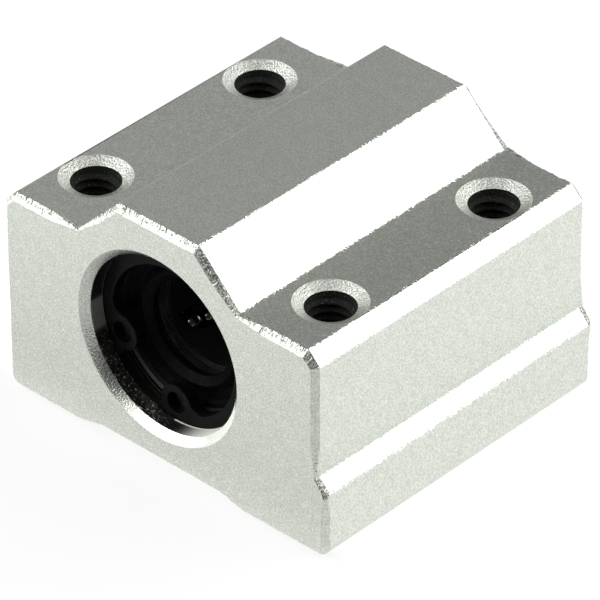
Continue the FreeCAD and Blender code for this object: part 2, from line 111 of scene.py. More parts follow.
# Aluminium: its colour, the tones of its grains, of dust and of painted sheen, and how far each
# place
# darkens it: nicks, scars and grit as wear, the rest as painted shade
ALUMINIUM_GREY = 0.90
ALUMINIUM_TINT = (0.955, 1.0, 0.905)
SPECK_TONES = (0.63, 0.99)
CLOUD_TONES = (0.97, 1.03)
SPARK_TONE = 0.32
# Dust specks, and the painted sheen and highlights of the bore, share this pale tone
DUST_AND_SHEEN_TONE = 0.9
# Painted shade in the bore, deeper in its ring grooves
BORE_SHADE_TONE = 0.16
GROOVE_SHADE_TONE = 0.05
# Painted shade on the left side of the bore's mouth
MOUTH_SHADE_TONE = 0.72
# Painted shade in the threaded holes
HOLE_SHADE_TONE = 0.07
NICK_TONE = 0.22
# Painted shade on the broken ends of the slopes that face up and to the right
SLOPE_END_SHADE_TONE = 0.75
SCAR_TONE = 0.35
GRIT_TONE = 0.75
# Painted shade on the level faces to the right, the right shoulder most
RIGHT_SHOULDER_SHADE_TONE = 0.80

# Aluminium: its roughness, and how much smoother the cut faces and the bore's mouth are
BLASTED_ROUGHNESS = 0.38
CUT_SMOOTHER = 0.08
MOUTH_SMOOTHER = 0.12
HOLE_ROUGHNESS = 0.85
DUST_AND_SHEEN_ROUGHNESS = 0.9

# Noise levels between which a look sets in: above them, or for nicks, scars and grit below them
SPARK_LEVELS = (0.61, 0.71)
WALL_DUST_LEVELS = (0.63, 0.69)
HOLE_DUST_LEVELS = (0.64, 0.74)
HOLE_DUST = 0.3
NICK_LEVELS = (0.42, 0.50)
SCAR_LEVELS = (0.46, 0.54)
GRIT_LEVELS = (0.42, 0.50)

# Where nicks lie on the broken ends, which way the faces point that are told apart, and between
# which places across the block the right shoulder's painted shade sets in
NICK_INSET = (0.3 * EDGE_BREAK, 0.6 * EDGE_BREAK)
NICK_HEIGHT = SHOULDER_HEIGHT - 3 * EDGE_BREAK
NICK_MOST_RIGHT = 0.4
SLOPE_LEAST_RIGHT = 0.25
SLOPE_LEAST_UP = 0.3
LEVEL_FACE = 0.98
SHOULDER_TURN = (4.0 * MM, 9.0 * MM)

# Ring grooves: the side their rings' gaps lie on, how far the gaps reach, and the width of the
# groove's burr line, painted as a highlight
RING_GAP = (-0.566, -0.824)
RING_GAP_EDGE = math.cos(math.radians(34))
BURR_WIDTH = 0.20 * MM

# Looks on one side of the bore, most of them painted light or shade: the way there across the
# block, the nearness to it, from -1 to 1, at which the look sets in and is full, and its share at
# both
# Painted sheen on the bore wall, low on the right
PAINTED_SHEEN_SIDE = (0.59, -0.81)
PAINTED_SHEEN = (PAINTED_SHEEN_SIDE, 0.86, 1.0, 0.0, 0.9)
# The groove's burr line, painted pale as a highlight, fuller towards the painted sheen
BURR_HIGHLIGHT = (PAINTED_SHEEN_SIDE, 0.2, 0.8, 0.25, 1.0)
# A painted light patch on the bore wall at the left
PAINTED_LIGHT_PATCH = ((-0.99, -0.12), 0.975, 0.985, 0.0, 0.38)
GAP_DUST = (RING_GAP, 0.6, 0.95, 0.02, 1.0)
# Painted shade on the mouth's left side
SHADED_MOUTH_SIDE = ((-0.985, 0.170), 0.4, 0.9, 0.0, 1.0)
TORN_MOUTH = ((-0.707, 0.707), -0.6, 0.2, 0.0, 1.0)
# Painted highlight on the mouth, low on the right
HIGHLIGHT_MOUTH_SIDE = ((0.839, -0.545), 0.90, 0.96, 0.0, 0.9)

# Black pieces: each skin's specular level, mottle, greys, roughness and grain
RING_SKIN = {"specular": 0.055, "mottle": (0.4 * MM, 3.0), "greys": (0.002, 0.005),
             "patch": 0.5 * MM, "roughness": (0.28, 0.42), "grain": (0.12 * MM, 0.006 * MM)}
RUBBER_SKIN = {"specular": 0.04, "mottle": (0.6 * MM, 3.0), "greys": (0.0008, 0.0025),
               "patch": 0.5 * MM, "roughness": (0.42, 0.6), "grain": (0.2 * MM, 0.006 * MM)}
PLASTIC_SKIN = {"specular": 0.2, "mottle": (0.8 * MM, 2.0), "greys": (0.004, 0.008),
                "patch": 0.6 * MM, "roughness": (0.45, 0.6), "grain": (0.15 * MM, 0.004 * MM)}

# Bright steel: the marks of grinding, and the film on the balls
SLEEVE_GREY = 0.5
STAMPED_GREY = 0.42
MARK_SIZE = 0.5 * MM
MARK_STRETCH = (0.1, 6.0, 0.1)
MARK_DETAIL = 4.0
MARK_TONES = (0.8, 1.0)
MARK_ROUGHNESS = (0.25, 0.38)
MARK_DEPTH = 0.004 * MM
FILM_SIZE = 0.5 * MM
BALL_GREYS = (0.22, 0.30)
BALL_ROUGHNESS = (0.05, 0.12)
BALL_ROUNDS = 3

# Room: direction, inner and outer half angle and level of each patch on an even wall
WALL_LEVEL = 0.95
WALL_PATCHES = (
    (Vector((0.0, 0.0, 1.0)), 22, 46, 0.20),
    (Vector((-0.23, 0.90, 0.30)), 14, 34, 1.70),
    (Vector((-0.92, 0.22, 0.28)), 14, 34, 0.70),
    (Vector((-0.80, 0.60, 0.0)), 10, 22, 0.42),
    (Vector((-0.54, 0.60, 0.585)), 18, 34, 0.245),
    (Vector((0.46, -0.78, 0.36)), 30, 56, 0.05),
    (Vector((0.58, 0.60, 0.56)), 20, 42, 1.60),
    (Vector((-0.56, -0.58, 0.60)), 20, 42, 2.60),
    (Vector((-0.93, -0.30, 0.15)), 18, 33, 2.40),
)

# Lamps: name, direction and power
LAMPS = (("lamp_right", Vector((0.58, 0.60, 0.56)), 0.5),
         ("lamp_left", Vector((-0.56, -0.58, 0.60)), 0.4))
LAMP_DISTANCE = 0.5
LAMP_SIZE = 0.3

# Floor: its outline and paper, and the share of its own light in what is seen or mirrored
FLOOR_RADIUS = 3.0
FLOOR_SEGMENTS = 96
PAPER = (0.9, 0.9, 0.9, 1.0)
MIRRORED_SHARE = 0.8

# Floor as the block mirrors it: the level of each stretch
FLOOR_SIDE = 1.11
FLOOR_FRONT = 0.77
FLOOR_FRONT_FAR = 0.98
FLOOR_NEAR = 0.82
FLOOR_NEAREST = 0.35
FLOOR_BACK_LEFT = 0.40
GLOW_BESIDE = 0.9
GLOW_LEFT = 1.2

# Floor: the places along or across the block, or towards the camera, between which each sets in
TOWARDS_CAMERA = Vector((0.682, -0.731, 0.0))
SIDE_ALONG = (-18 * MM, -13 * MM)
FRONT_FAR_ALONG = (-21 * MM, -34 * MM)
NEAR_TOWARDS = (20 * MM, 34 * MM)
NEAREST_TOWARDS = (48 * MM, 90 * MM)
GLOW_BESIDE_ACROSS = (-18 * MM, -26 * MM)
GLOW_LEFT_ACROSS = (-27 * MM, -40 * MM)
GLOW_BACK_ALONG = (-4 * MM, -10 * MM)
GLOW_FRONT_ALONG = (-23 * MM, -19 * MM)
BACK_LEFT_ACROSS = (-26 * MM, -40 * MM)
BACK_LEFT_ALONG = (2 * MM, 16 * MM)

# Meshes: how far points that are one and lengths that are equal may differ, the digits by which
# the balls are sorted, the angles of flat and sharp edges, and the pull of large faces on shading
WELD = 1e-6
NEARLY = 0.005 * MM
PLACE_DIGITS = 7
FLAT_ANGLE = math.radians(0.6)
SHARP_ANGLE = math.radians(20)
LARGE_FACE_WEIGHT = 100

WHITE = (1.0, 1.0, 1.0, 1.0)

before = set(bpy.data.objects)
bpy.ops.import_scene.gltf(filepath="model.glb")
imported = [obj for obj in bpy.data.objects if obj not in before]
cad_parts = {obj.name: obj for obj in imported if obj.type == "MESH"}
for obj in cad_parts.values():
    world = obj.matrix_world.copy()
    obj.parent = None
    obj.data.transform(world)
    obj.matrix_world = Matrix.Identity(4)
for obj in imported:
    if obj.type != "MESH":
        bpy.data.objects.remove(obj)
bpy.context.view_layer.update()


class Tree:
    """Adds nodes to a shader tree: a socket given as a value is linked, other values are set."""

    def __init__(self, owner):
        owner.use_nodes = True
        self.nodes = owner.node_tree.nodes
        self.links = owner.node_tree.links
        self.nodes.clear()

    def add(self, kind, inputs=None, **settings):
        made = self.nodes.new(kind)
        for name, value in settings.items():
            setattr(made, name, value)
        for name, value in (inputs or {}).items():
            self.feed(made.inputs[name], value)
        return made

    def feed(self, socket, value):
        if isinstance(value, bpy.types.NodeSocket):
            self.links.new(value, socket)
        else:
            socket.default_value = value

    def math(self, operation, first, second=0.0, third=0.0):
        made = self.add("ShaderNodeMath", {0: first, 1: second, 2: third}, operation=operation)
        return made.outputs[0]

    def both(self, first, second):
        """Multiply two values, which for two masks keeps what lies in both."""
        return self.math("MULTIPLY", first, second)

    def most(self, first, second):
        return self.math("MAXIMUM", first, second)

    def above(self, value, limit):
        return self.math("GREATER_THAN", value, limit)

    def below(self, value, limit):
        return self.math("LESS_THAN", value, limit)

    def fade(self, share, level):
        """Give 1 where share is 0, and level where it is 1."""
        return self.math("MULTIPLY_ADD", share, level - 1.0, 1.0)

    def distance(self, first, second):
        """Give the length of a vector with two parts."""
        squares = self.math("ADD", self.math("POWER", first, 2.0), self.math("POWER", second, 2.0))
        return self.math("SQRT", squares)

    def dot(self, vector, direction):
        made = self.add("ShaderNodeVectorMath", {0: vector, 1: direction}, operation="DOT_PRODUCT")
        return made.outputs["Value"]

    def place(self):
        """Give the point's place in the block's own frame."""
        return self.add("ShaderNodeTexCoord").outputs["Object"]

    def grain(self, size, detail=2.0, roughness=0.5, stretch=(1, 1, 1)):
        """Give noise from 0 to 1 whose lumps have about this size."""
        scaled = self.add("ShaderNodeMapping", {"Vector": self.place(), "Scale": stretch})
        made = self.add("ShaderNodeTexNoise", {"Vector": scaled.outputs[0], "Scale": 1 / size,
                                               "Detail": detail, "Roughness": roughness})
        return made.outputs["Fac"]

    def ramp(self, value, low, high, low_to=0.0, high_to=1.0):
        """Turn low..high of a value into low_to..high_to, held at both ends."""
        made = self.add("ShaderNodeMapRange", {
            "Value": value, "From Min": low, "From Max": high, "To Min": low_to, "To Max": high_to})
        return made.outputs["Result"]

    def spread(self, grain, low_to, high_to):
        """Turn the range in which most of a noise lies into low_to..high_to."""
        return self.ramp(grain, *NOISE_RANGE, low_to, high_to)

    def blend(self, share, first, second):
        """Mix two colours."""
        return self.mix("RGBA", share, first, second)

    def mix(self, kind, share, first, second):
        made = self.add("ShaderNodeMix", data_type=kind)
        self.feed(made.inputs["Factor"], share)
        self.feed(made.inputs["A"], first)
        self.feed(made.inputs["B"], second)
        return made.outputs["Result"]

    def bump(self, height, depth, under=None):
        """Raise the surface by height times depth, over another bump if one is given."""
        made = self.add("ShaderNodeBump", {"Height": height, "Distance": depth, "Strength": 1.0})
        if under:
            self.feed(made.inputs["Normal"], under)
        return made.outputs["Normal"]


class Spot:
    """The point being shaded on the block: its place, what it faces, and masks of its regions."""

    def __init__(self, tree):
        self.tree = tree
        place = tree.add("ShaderNodeSeparateXYZ", {0: tree.place()}).outputs
        self.across, self.height = place[0], place[2]
        self.end = tree.math("ABSOLUTE", place[1])
        self.from_face = tree.math("SUBTRACT", HALF_LENGTH, self.end)
        self.over_bore = tree.math("SUBTRACT", self.height, BORE_HEIGHT)
        self.bore = tree.distance(self.across, self.over_bore)
        self.hole = tree.distance(
            tree.math("SUBTRACT", tree.math("ABSOLUTE", self.across), HOLE_ACROSS),
            tree.math("SUBTRACT", self.end, HOLE_ALONG))
        normal = tree.add("ShaderNodeNewGeometry").outputs["True Normal"]
        facing = tree.add("ShaderNodeSeparateXYZ", {0: normal}).outputs
        self.faces_right, self.faces_up = facing[0], facing[2]
        self.find_regions()

    def find_regions(self):
        """Make a mask for each region, with 1 inside it and 0 outside."""
        tree = self.tree
        self.in_bore = tree.both(tree.below(self.bore, GROOVE_RADIUS + MARGIN),
                                 tree.above(self.from_face, MOUTH_BREAK))
        self.in_groove = tree.both(self.in_bore, tree.below(self.end, GROOVE_EDGE))
        self.on_wall = tree.both(self.in_bore, tree.above(self.end, GROOVE_EDGE))
        self.in_mouth = tree.both(tree.below(self.bore, MOUTH_RADIUS + MARGIN),
                                  tree.below(self.from_face, MOUTH_BREAK))
        cone_start = SHOULDER_HEIGHT - SINK_RADIUS * SINK_SLOPE - MARGIN
        cone = tree.math("MULTIPLY_ADD", self.hole, SINK_SLOPE, cone_start)
        self.in_hole = tree.both(tree.below(self.hole, HOLE_RADIUS + MARGIN),
                                 tree.below(self.height, cone))
        sunk = tree.both(tree.below(self.hole, SINK_RADIUS + MARGIN),
                         tree.below(self.height, SHOULDER_HEIGHT - MARGIN))
        self.in_sink = tree.math("SUBTRACT", sunk, self.in_hole)
        by_face = tree.both(tree.above(self.from_face, MARGIN),
                            tree.below(self.from_face, EDGE_BREAK + MARGIN))
        self.on_break = tree.both(by_face, tree.above(self.bore, MOUTH_RADIUS + MARGIN))

    def towards(self, way):
        """Tell how far a place in the bore lies towards one side of it, from -1 to 1."""
        sideways = self.tree.math("MULTIPLY", self.across, way[0])
        along_way = self.tree.math("MULTIPLY_ADD", self.over_bore, way[1], sideways)
        return self.tree.math("DIVIDE", along_way, self.bore)

    def side(self, look):
        """Give the share of a look that lies on one side of the bore."""
        way, *limits = look
        return self.tree.ramp(self.towards(way), *limits)


def grey(level, tint=(1.0, 1.0, 1.0)):
    return tuple(level * part for part in tint) + (1.0,)


def surface(name, **settings):
    """Start a material: its tree and its Principled shader."""
    material = bpy.data.materials.new(name)
    tree = Tree(material)
    shader = tree.add("ShaderNodeBsdfPrincipled", settings)
    out = tree.add("ShaderNodeOutputMaterial")
    tree.feed(out.inputs["Surface"], shader.outputs["BSDF"])
    return material, tree, shader


def blasted_aluminium():
    """Fine-blasted anodised aluminium: torn ends and countersinks, painted shade in the bore, the
    threaded holes and on some faces, and painted sheen and highlights in the bore and its mouth.
    """
    material, tree, shader = surface("blasted_aluminium", Metallic=1.0)
    spot = Spot(tree)
    speck = tree.grain(SPECK_SIZE, roughness=COARSE)
    spark = tree.grain(SPARK_SIZE, detail=PLAIN)
    tear = tree.grain(TEAR_SIZE, roughness=COARSE)
    bright = tree.ramp(spark, *SPARK_LEVELS)
    painted_sheen = painted_sheen_share(spot)
    dust_and_sheen = dust_and_sheen_share(spot, spark, painted_sheen)
    # Dust specks, and the painted sheen and highlights, are lifted to a pale tone
    tone = tree.most(aluminium_tone(spot, speck, bright, tear), tree.both(dust_and_sheen, DUST_AND_SHEEN_TONE))
    colour = tree.blend(bright, grey(ALUMINIUM_GREY, ALUMINIUM_TINT), grey(ALUMINIUM_GREY))
    tree.feed(shader.inputs["Base Color"], tree.blend(tone, grey(0.0), colour))
    # The painted sheen and highlights turn from metal to a pale diffuse surface
    tree.feed(shader.inputs["Metallic"], tree.math("SUBTRACT", 1.0, painted_sheen))
    tree.feed(shader.inputs["Roughness"], aluminium_roughness(spot, dust_and_sheen))
    tree.feed(shader.inputs["Normal"], aluminium_relief(spot, speck, tear))
    return material


def aluminium_tone(spot, speck, bright, tear):
    """Give how light each place is, where 1 is the full colour: grain, nicks, scars and grit, and
    painted shade in the bore, holes, mouth side, right-hand slope ends and right shoulder.
    """
    tree = spot.tree
    tone = tree.both(tree.spread(speck, *SPECK_TONES),
                     tree.spread(tree.grain(CLOUD_SIZE), *CLOUD_TONES))
    tone = tree.math("MULTIPLY_ADD", bright, SPARK_TONE, tone)
    stroke = tree.grain(STROKE_SIZE, detail=PLAIN, stretch=STROKE_STRETCH)
    border = tree.both(tree.ramp(spot.from_face, *NICK_INSET), tree.above(spot.height, NICK_HEIGHT))
    border = tree.both(border, tree.below(spot.faces_right, NICK_MOST_RIGHT))
    nick = tree.both(tree.ramp(stroke, *NICK_LEVELS, 1.0, 0.0), tree.both(spot.on_break, border))
    sloping = tree.both(tree.above(spot.faces_right, SLOPE_LEAST_RIGHT),
                        tree.above(spot.faces_up, SLOPE_LEAST_UP))
    # Painted shade on the broken ends that slope up to the right
    shaded_slope_end = tree.both(spot.on_break, sloping)
    scar = tree.both(shaded_slope_end, tree.ramp(tear, *SCAR_LEVELS, 1.0, 0.0))
    grit = tree.both(spot.in_sink, tree.ramp(tear, *GRIT_LEVELS, 1.0, 0.0))
    # Painted shade on the left side of the mouth
    shaded_mouth = tree.both(spot.in_mouth, spot.side(SHADED_MOUTH_SIDE))
    # Painted shade on the level faces to the right, the right shoulder most
    shaded_right_shoulder = tree.both(tree.above(spot.faces_up, LEVEL_FACE),
                               tree.ramp(spot.across, *SHOULDER_TURN))
    for share, level in ((spot.in_bore, BORE_SHADE_TONE), (spot.in_groove, GROOVE_SHADE_TONE / BORE_SHADE_TONE),
                         (shaded_mouth, MOUTH_SHADE_TONE), (spot.in_hole, HOLE_SHADE_TONE), (nick, NICK_TONE),
                         (shaded_slope_end, SLOPE_END_SHADE_TONE), (scar, SCAR_TONE), (grit, GRIT_TONE),
                         (shaded_right_shoulder, RIGHT_SHOULDER_SHADE_TONE)):
        tone = tree.both(tone, tree.fade(share, level))
    return tone


def painted_sheen_share(spot):
    """Give the painted sheen and light patch on the bore wall, the groove's burr line painted as a
    highlight and the painted highlight on the mouth, all pale and dull.
    """
    tree = spot.tree
    wall_sheen = tree.both(tree.most(spot.side(PAINTED_SHEEN), spot.side(PAINTED_LIGHT_PATCH)), spot.on_wall)
    burr_highlight = tree.both(spot.on_wall, tree.below(spot.end, GROOVE_EDGE + BURR_WIDTH))
    burr_highlight = tree.both(burr_highlight, tree.below(spot.towards(RING_GAP), RING_GAP_EDGE))
    burr_highlight = tree.both(burr_highlight, spot.side(BURR_HIGHLIGHT))
    # Painted highlight on the mouth, low on the right
    mouth = tree.both(spot.in_mouth, spot.side(HIGHLIGHT_MOUTH_SIDE))
    return tree.most(tree.most(wall_sheen, burr_highlight), mouth)


def dust_and_sheen_share(spot, spark, painted_sheen):
    """Give the dust specks in the bore and the holes, together with the painted sheen and
    highlights.
    """
    tree = spot.tree
    in_bore = tree.both(tree.ramp(spark, *WALL_DUST_LEVELS), spot.side(GAP_DUST))
    in_bore = tree.both(in_bore, spot.on_wall)
    in_hole = tree.both(spot.in_hole, tree.ramp(spark, *HOLE_DUST_LEVELS, 0.0, HOLE_DUST))
    return tree.most(tree.most(in_bore, in_hole), painted_sheen)


def aluminium_roughness(spot, dust_and_sheen):
    """Make cut faces smoother than blasted ones, and dust, the painted sheen and highlights
    and the holes dull.
    """
    tree = spot.tree
    cut = tree.most(tree.most(spot.on_break, spot.in_sink), spot.in_bore)
    rough = tree.math("MULTIPLY_ADD", cut, -CUT_SMOOTHER, BLASTED_ROUGHNESS)
    rough = tree.math("MULTIPLY_ADD", spot.in_mouth, -MOUTH_SMOOTHER, rough)
    rough = tree.most(rough, tree.both(spot.in_hole, HOLE_ROUGHNESS))
    return tree.most(rough, tree.both(dust_and_sheen, DUST_AND_SHEEN_ROUGHNESS))


def aluminium_relief(spot, speck, tear):
    """Raise a fine grain everywhere and a coarse one on the torn places."""
    tree = spot.tree
    fine = tree.bump(speck, SPECK_DEPTH, under=frayed_borders(spot))
    mouth = tree.both(spot.in_mouth, spot.side(TORN_MOUTH))
    torn = tree.most(tree.both(spot.in_sink, SINK_TEAR), tree.both(mouth, MOUTH_TEAR))
    torn = tree.most(spot.on_break, torn)
    return tree.bump(tree.both(tear, torn), TEAR_DEPTH, under=fine)


def frayed_borders(spot):
    """Tip flecks of the faces beside the right-hand slopes over to the slopes' own direction."""
    tree = spot.tree
    nearest = FRAY_REACH
    for x, z in FRAYED_LINES:
        away = tree.distance(tree.math("SUBTRACT", spot.across, x),
                             tree.math("SUBTRACT", spot.height, z))
        nearest = tree.math("MINIMUM", nearest, away)
    fleck = tree.grain(FLECK_SIZE, detail=PLAIN)
    tipped = tree.above(fleck, tree.ramp(nearest, 0.0, FRAY_REACH, *FLECK_LEVELS))
    tipped = tree.both(tipped, tree.below(nearest, FRAY_END))
    return tree.mix("VECTOR", tipped, tree.add("ShaderNodeNewGeometry").outputs["Normal"], FLANK)


def black_skin(name, specular, mottle, greys, patch, roughness, grain):
    """Near-black steel, rubber or plastic with a faint mottle and a fine grain."""
    material, tree, shader = surface(name, **{"Metallic": 0.0, "Specular IOR Level": specular})
    mottle_size, mottle_detail = mottle
    tone = tree.spread(tree.grain(mottle_size, detail=mottle_detail), 0.0, 1.0)
    darkest, lightest = greys
    tree.feed(shader.inputs["Base Color"], tree.blend(tone, grey(darkest), grey(lightest)))
    tree.feed(shader.inputs["Roughness"], tree.spread(tree.grain(patch), *roughness))
    grain_size, grain_depth = grain
    tree.feed(shader.inputs["Normal"], tree.bump(tree.grain(grain_size), grain_depth))
    return material


def ground_steel(name, level):
    """Ground or stamped steel with marks that run round the bore's axis."""
    material, tree, shader = surface(name, Metallic=1.0)
    marks = tree.grain(MARK_SIZE, detail=MARK_DETAIL, stretch=MARK_STRETCH)
    tone = tree.spread(marks, *MARK_TONES)
    tree.feed(shader.inputs["Base Color"], tree.blend(tone, grey(0.0), grey(level)))
    tree.feed(shader.inputs["Roughness"], tree.spread(marks, *MARK_ROUGHNESS))
    tree.feed(shader.inputs["Normal"], tree.bump(marks, MARK_DEPTH))
    return material


def bright_balls():
    """Polished ball steel with the faintest film of oil."""
    material, tree, shader = surface("bright_balls", Metallic=1.0)
    film = tree.grain(FILM_SIZE)
    darkest, lightest = BALL_GREYS
    tree.feed(shader.inputs["Base Color"], tree.blend(film, grey(darkest), grey(lightest)))
    tree.feed(shader.inputs["Roughness"], tree.spread(film, *BALL_ROUGHNESS))
    return material


def dress(piece, material):
    """Give a piece one material in place of what it has."""
    piece.data.materials.clear()
    piece.data.materials.append(material)


def new_piece(name, bm, material, node=None):
    """Make a mesh object, ride it on the part's one body and hide the node it takes the place of.
    """
    mesh = bpy.data.meshes.new(name)
    bm.to_mesh(mesh)
    bm.free()
    piece = bpy.data.objects.new(name, mesh)
    bpy.context.scene.collection.objects.link(piece)
    dress(piece, material)
    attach(piece, "root")
    if node:
        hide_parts(node)
    return piece


def welded(node):
    """Take a node's mesh and join its faces."""
    bm = bmesh.new()
    bm.from_mesh(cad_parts[node].data)
    bmesh.ops.remove_doubles(bm, verts=bm.verts, dist=WELD)
    return bm


def cleaned(node):
    """Take a node's mesh without the lines across its flat faces."""
    bm = welded(node)
    bmesh.ops.dissolve_limit(bm, angle_limit=FLAT_ANGLE, verts=bm.verts, edges=bm.edges)
    return bm


def sharp(edge):
    return edge.is_manifold and edge.calc_face_angle() > SHARP_ANGLE


def round_edges(bm, edges, width):
    bmesh.ops.bevel(bm, geom=edges, offset=width, segments=ROUND_SEGMENTS, affect="EDGES",
                    profile=ROUND_PROFILE, clamp_overlap=True)


def keep_sharp_edges(bm):
    """Mark the edges that stay sharp, so that smooth shading stops there."""
    for edge in bm.edges:
        edge.smooth = not sharp(edge)


def shade_smooth(piece):
    for face in piece.data.polygons:
        face.use_smooth = True


def shade_weighted(piece):
    """Shade the piece smooth, with its large faces flat."""
    shade_smooth(piece)
    flat_faces = piece.modifiers.new("FlatFaces", "WEIGHTED_NORMAL")
    flat_faces.keep_sharp = True
    flat_faces.weight = LARGE_FACE_WEIGHT


def near(value, target):
    return abs(value - target) < NEARLY


def at_bore(point):
    """Tell whether a place lies in the bore or at its mouth."""
    return math.hypot(point.x, point.z - BORE_HEIGHT) < AROUND_MOUTH


def runs_along_block(edge):
    """Tell the long sharp edges, which run from end to end outside the bore."""
    start, stop = (vertex.co for vertex in edge.verts)
    straight = abs(start.x - stop.x) < WELD and abs(start.z - stop.z) < WELD
    return straight and not at_bore(start) and sharp(edge)


def circles_bore(edge):
    """Tell the sharp edges that run round the bore, at its mouths and ring grooves."""
    start, stop = (vertex.co for vertex in edge.verts)
    return abs(start.y - stop.y) < WELD and at_bore((start + stop) / 2) and sharp(edge)


def borders_broken_end(edge):
    """Tell the outer and inner border lines of the broken edge round each end face."""
    start, stop = (vertex.co for vertex in edge.verts)
    if at_bore((start + stop) / 2):
        return False
    at_face = near(abs(start.y), HALF_LENGTH) and near(abs(stop.y), HALF_LENGTH)
    at_side = (near(abs(start.y), HALF_LENGTH - EDGE_BREAK)
               and near(abs(stop.y), HALF_LENGTH - EDGE_BREAK))
    return (at_face or at_side) and sharp(edge)


def divide(edge, count):
    """Put evenly spaced points on an edge."""
    start, stop = edge.verts
    points = []
    for left in range(count, 0, -1):
        made, start = bmesh.utils.edge_split(edge, start, 1 / (left + 1))
        edge = made if stop in made.verts else edge
        points.append(start)
    return points


def flat(point):
    """Give a point's place across the block's length."""
    return Vector((point.x, point.z))


def nearest_on(lines, point):
    """Give the nearest point on a list of straight lines."""
    found = []
    for start, stop in lines:
        run = stop - start
        share = min(1.0, max(0.0, (point - start).dot(run) / run.length_squared))
        found.append(start + run * share)
    return min(found, key=lambda place: (place - point).length)


def narrow_at_corners(points, outline):
    """Draw the border points of a broken end together near the block's inner corners."""
    for point in points:
        place = flat(point.co)
        reach = min((place - Vector(corner)).length for corner in INNER_CORNERS)
        share = min(1.0, NARROWEST + reach / NARROW_REACH)
        if near(abs(point.co.y), HALF_LENGTH):
            foot = nearest_on(outline, place)
            point.co.x, point.co.z = foot + (place - foot) * share
        else:
            point.co.y = math.copysign(HALF_LENGTH - EDGE_BREAK * share, point.co.y)


def ragged_ends(bm):
    """Divide the border lines of the broken ends, narrow them at inner corners and roughen them."""
    borders = [edge for edge in bm.edges if borders_broken_end(edge)]
    outline = [tuple(flat(vertex.co) for vertex in edge.verts) for edge in borders
               if near(abs(edge.verts[0].co.y), HALF_LENGTH - EDGE_BREAK)]
    corners = {vertex for edge in borders for vertex in edge.verts}
    moving = []
    for edge in borders:
        cuts = int(edge.calc_length() / RAGGED_STEP)
        if cuts < 1:
            continue
        start, stop = edge.verts
        direction = (stop.co - start.co).normalized()
        on_face = near(abs(start.co.y), HALF_LENGTH)
        inward = Vector((0, 1, 0)).cross(direction) if on_face else Vector((0, 1, 0))
        moving.append((divide(edge, cuts), inward))
    narrow_at_corners(corners.union(*(points for points, _ in moving)), outline)
    for points, inward in moving:
        for point in points:
            wobble = sum(share * noise.noise(point.co / length) for length, share in RAGGED_WAVES)
            point.co += inward * (RAGGED_SHIFT * wobble)


def make_housing(material):
    """Round the long edges, tear the broken ends and shade the faces flat."""
    bm = cleaned("housing")
    edges = [edge for edge in bm.edges if runs_along_block(edge) or circles_bore(edge)]
    round_edges(bm, edges, EDGE_ROUND)
    ragged_ends(bm)
    bmesh.ops.triangulate(bm, faces=bm.faces)
    keep_sharp_edges(bm)
    shade_weighted(new_piece("housing_block", bm, material, "housing"))


def make_rounded(node, name, material, width):
    """Copy a small piece with its sharp edges rounded."""
    bm = cleaned(node)
    round_edges(bm, [edge for edge in bm.edges if sharp(edge)], width)
    bmesh.ops.triangulate(bm, faces=bm.faces)
    keep_sharp_edges(bm)
    shade_weighted(new_piece(name, bm, material, node))


def make_thread(name, x, y, material):
    """Raise one helical ridge that narrows the hole and runs out at both its ends."""
    bm = bmesh.new()
    section = ((THREAD_ROOT, -ROOT_HALF_WIDTH), (THREAD_CREST, -CREST_HALF_WIDTH),
               (THREAD_CREST, CREST_HALF_WIDTH), (THREAD_ROOT, ROOT_HALF_WIDTH))
    count = int((THREAD_TOP - THREAD_BOTTOM) / THREAD_PITCH * THREAD_STEPS)
    rings = []
    for step in range(count):
        turn = 2 * math.pi * step / THREAD_STEPS
        middle = THREAD_BOTTOM + THREAD_PITCH * step / THREAD_STEPS
        share = min(1.0, THREAD_TIP + min(step, count - 1 - step) / THREAD_STEPS)
        ring = []
        for radius, lift in section:
            reach = THREAD_ROOT - (THREAD_ROOT - radius) * share
            place = (x + reach * math.cos(turn), y + reach * math.sin(turn),
                     middle + lift * THREAD_PITCH * share)
            ring.append(bm.verts.new(place))
        rings.append(ring)
    for lower, upper in zip(rings, rings[1:]):
        for side in range(len(section)):
            other = (side + 1) % len(section)
            bm.faces.new((lower[side], upper[side], upper[other], lower[other]))
    bm.faces.new(rings[0])
    bm.faces.new(reversed(rings[-1]))
    bmesh.ops.triangulate(bm, faces=bm.faces)
    bmesh.ops.recalc_face_normals(bm, faces=bm.faces)
    keep_sharp_edges(bm)
    shade_smooth(new_piece(name, bm, material))


def loose_parts(bm):
    """Give the vertices of each separate ball."""
    left = set(bm.verts)
    while left:
        found = [left.pop()]
        for vertex in found:
            for edge in vertex.link_edges:
                other = edge.other_vert(vertex)
                if other in left:
                    left.remove(other)
                    found.append(other)
        yield found


def make_balls(node, material):
    """Set a smooth ball in the place of each faceted one."""
    source = welded(node)
    balls = []
    for part in loose_parts(source):
        centre = sum((vertex.co for vertex in part), Vector()) / len(part)
        radius = max((vertex.co - centre).length for vertex in part)
        balls.append((centre, radius))
    source.free()
    balls.sort(key=lambda ball: tuple(round(part, PLACE_DIGITS) for part in ball[0]))
    bm = bmesh.new()
    for centre, radius in balls:
        bmesh.ops.create_icosphere(bm, subdivisions=BALL_ROUNDS, radius=radius,
                                   matrix=Matrix.Translation(centre))
    shade_smooth(new_piece(node + "_bright", bm, material, node))


